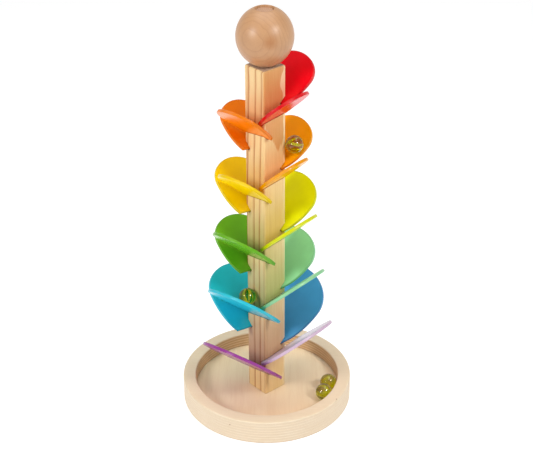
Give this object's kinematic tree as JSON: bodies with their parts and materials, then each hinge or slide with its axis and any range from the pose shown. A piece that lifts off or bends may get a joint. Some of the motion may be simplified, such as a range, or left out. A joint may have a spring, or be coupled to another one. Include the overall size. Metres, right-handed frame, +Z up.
{
  "type": "marble run",
  "caption": "Wooden marble tree: painted leaves let into a square post in a falling spiral, over a round plywood tray, with a turned ball on top and glass marbles.",
  "frame": {"origin": "middle of the tray ring's underside, on the post's axis, at the level the part stands on", "axes": "+Z up along the post; +X out of the post face that carries the first leaf; the spiral runs down clockwise as seen from above, so the second leaf is on the -Y face"},
  "size_m": [0.16, 0.16, 0.3893],
  "materials": {
    "plywood_ring": "thin matt varnish over turned plywood, plies showing on the walls",
    "plywood_floor": "thin matt varnish over a flat veneer face",
    "pine_post": "thin satin varnish over planed softwood",
    "steel_screw": "bright zinc plate",
    "beech_ball": "satin varnish over turned beech",
    "beech_dowel": "satin varnish over end grain",
    "red_paint": "satin paint on thin plywood",
    "orange_paint": "satin paint on thin plywood",
    "amber_paint": "satin paint on thin plywood",
    "yellow_paint": "satin paint on thin plywood",
    "lime_paint": "satin paint on thin plywood",
    "green_paint": "satin paint on thin plywood",
    "mint_paint": "satin paint on thin plywood",
    "cyan_paint": "satin paint on thin plywood",
    "blue_paint": "satin paint on thin plywood",
    "lavender_paint": "satin paint on thin plywood",
    "purple_paint": "satin paint on thin plywood",
    "marble_glass": "clear yellow-green glass with opaque ribbons inside"
  },
  "bodies": {
    "tree": {"base_ring": "plywood_ring", "base_floor": "plywood_floor", "post": "pine_post", "post_screw": "steel_screw", "finial_ball": "beech_ball", "finial_dowel": "beech_dowel", "leaf_01_red": "red_paint", "leaf_02_red": "red_paint", "leaf_03_orange": "orange_paint", "leaf_04_orange": "orange_paint", "leaf_05_amber": "amber_paint", "leaf_06_amber": "amber_paint", "leaf_07_yellow": "yellow_paint", "leaf_08_yellow": "yellow_paint", "leaf_09_lime": "lime_paint", "leaf_10_lime": "lime_paint", "leaf_11_green": "green_paint", "leaf_12_green": "green_paint", "leaf_13_mint": "mint_paint", "leaf_14_mint": "mint_paint", "leaf_15_cyan": "cyan_paint", "leaf_16_cyan": "cyan_paint", "leaf_17_blue": "blue_paint", "leaf_18_lavender": "lavender_paint", "leaf_19_purple": "purple_paint"},
    "upper_marble": {"marble_on_amber_leaf": "marble_glass"},
    "lower_marble": {"marble_on_cyan_leaf": "marble_glass"},
    "back_marble": {"marble_in_tray_back": "marble_glass"},
    "front_marble": {"marble_in_tray_front": "marble_glass"}
  },
  "joints": [
    {"name": "upper_marble_roll", "type": "slide", "parent": "tree", "child": "upper_marble", "axis": [0.7172, 0.1073, 0.6886], "range_m": [0, 0.014]},
    {"name": "lower_marble_roll", "type": "slide", "parent": "tree", "child": "lower_marble", "axis": [0, 0.9781, -0.2079], "range_m": [-0.01, 0.012]},
    {"name": "back_marble_roll", "type": "hinge", "parent": "tree", "child": "back_marble", "pos_m": [0, 0, 0.0175], "axis": [0, 0, 1], "range_deg": [0, 160]},
    {"name": "front_marble_roll", "type": "hinge", "parent": "tree", "child": "front_marble", "pos_m": [0, 0, 0.0175], "axis": [0, 0, 1], "range_deg": [-160, 0]}
  ]
}
